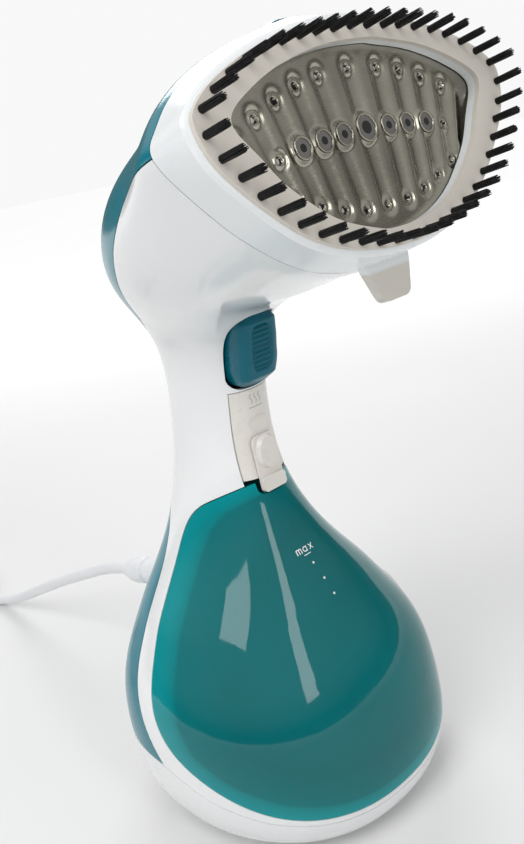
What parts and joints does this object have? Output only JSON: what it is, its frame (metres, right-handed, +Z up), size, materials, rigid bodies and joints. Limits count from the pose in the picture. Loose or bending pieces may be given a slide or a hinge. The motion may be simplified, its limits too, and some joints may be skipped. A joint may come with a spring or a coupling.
{
  "type": "handheld garment steamer",
  "caption": "Upright handheld garment steamer with a clip-on brush head, a thumb trigger, a removable front water tank and a mains cord.",
  "frame": {"origin": "centre of the base on the table, under the rubber pad", "axes": "+Z up along the handle; the steam head faces -Y; +X is the user's side to the right when looking along +Y"},
  "size_m": [0.1659, 0.3987, 0.2707],
  "materials": {
    "white_shell": "glossy moulded",
    "teal_cover": "glossy opaque",
    "trigger_teal": "semi gloss",
    "tank_teal": "clear translucent",
    "off_white": "satin",
    "beige_face": "fine matt",
    "black_bristle": "nylon bristle",
    "polished_steel": "polished, formed channels",
    "nozzle_grey": "satin",
    "cast_aluminium": "as cast",
    "spring_steel": "wire",
    "black_plastic": "moulded",
    "silicone": "soft",
    "base_rubber": "matt",
    "board_green": "solder mask",
    "cord_white": "satin sheath",
    "wire_red": "satin",
    "brass_pin": "plated"
  },
  "bodies": {
    "housing": {"base_pad": "base_rubber", "base_shoe": "white_shell", "board_parts": "black_plastic", "chamber_gasket": "silicone", "chamber_lid": "cast_aluminium", "circuit_board": "board_green", "cord": "cord_white", "cord_clamp": "black_plastic", "cord_coil": "cord_white", "cord_socket": "cord_white", "docking_socket": "black_plastic", "head_collar": "white_shell", "head_rear_cover": "teal_cover", "heating_element": "spring_steel", "inner_cable": "cord_white", "left_shell": "white_shell", "lower_rear_cover": "teal_cover", "microswitch": "black_plastic", "plug_body": "cord_white", "plug_pins": "brass_pin", "power_wires": "wire_red", "pump_body": "black_plastic", "pump_spring": "spring_steel", "right_shell": "white_shell", "shell_screws": "spring_steel", "slide_spring": "spring_steel", "spring_seat": "off_white", "steam_chamber": "cast_aluminium", "steam_hose": "silicone", "steam_nozzles": "nozzle_grey", "steam_plate": "polished_steel", "strain_relief": "cord_white", "switch_panel": "off_white", "tank_bay_wall": "white_shell", "thermal_fuse": "silicone", "thermostat": "cast_aluminium", "trigger_pin": "spring_steel", "trigger_spring": "spring_steel", "water_hose": "silicone"},
    "trigger": {"trigger": "trigger_teal"},
    "switch_button": {"switch_button": "black_plastic"},
    "tank_slide": {"tank_slide": "off_white"},
    "tank": {"water_tank": "tank_teal", "outlet_fitting": "black_plastic", "pickup_hose": "silicone", "pickup_weight": "silicone"},
    "fill_plug": {"fill_plug": "silicone"},
    "outlet_valve": {"outlet_valve": "black_plastic"},
    "brush": {"brush_frame": "white_shell", "bristle_carrier": "beige_face", "bristle_tufts": "black_bristle"},
    "pump_plunger": {"pump_plunger": "black_plastic"}
  },
  "joints": [
    {"name": "trigger_press", "type": "hinge", "parent": "housing", "child": "trigger", "pos_m": [0, -0.012, 0.1836], "axis": [1, 0, 0], "range_deg": [0, 6], "stiffness_Nm_per_rad": 0.6},
    {"name": "switch_press", "type": "slide", "parent": "housing", "child": "switch_button", "axis": [0, 1, 0], "range_m": [0, 0.0012]},
    {"name": "tank_release", "type": "slide", "parent": "housing", "child": "tank_slide", "axis": [0, 0.0893, 0.996], "range_m": [0, 0.005], "stiffness_N_per_m": 300, "deforming": ["slide_spring"]},
    {"name": "tank_pull", "type": "slide", "parent": "housing", "child": "tank", "axis": [0, -1, 0], "range_m": [0, 0.06]},
    {"name": "fill_plug_pull", "type": "slide", "parent": "tank", "child": "fill_plug", "axis": [0.8804, -0.2621, 0.3952], "range_m": [0, 0.012]},
    {"name": "valve_press", "type": "slide", "parent": "tank", "child": "outlet_valve", "axis": [0, -1, 0], "range_m": [0, 0.0015], "stiffness_N_per_m": 200},
    {"name": "brush_pull", "type": "slide", "parent": "housing", "child": "brush", "axis": [0, -0.9715, 0.2368], "range_m": [0, 0.025]},
    {"name": "pump_stroke", "type": "slide", "parent": "housing", "child": "pump_plunger", "axis": [0, 0, -1], "range_m": [0, 0.003], "stiffness_N_per_m": 400, "deforming": ["pump_spring"]}
  ],
  "couplings": [
    {"joint": "switch_press", "follows": "trigger_press", "m_per_rad": 0.01}
  ]
}
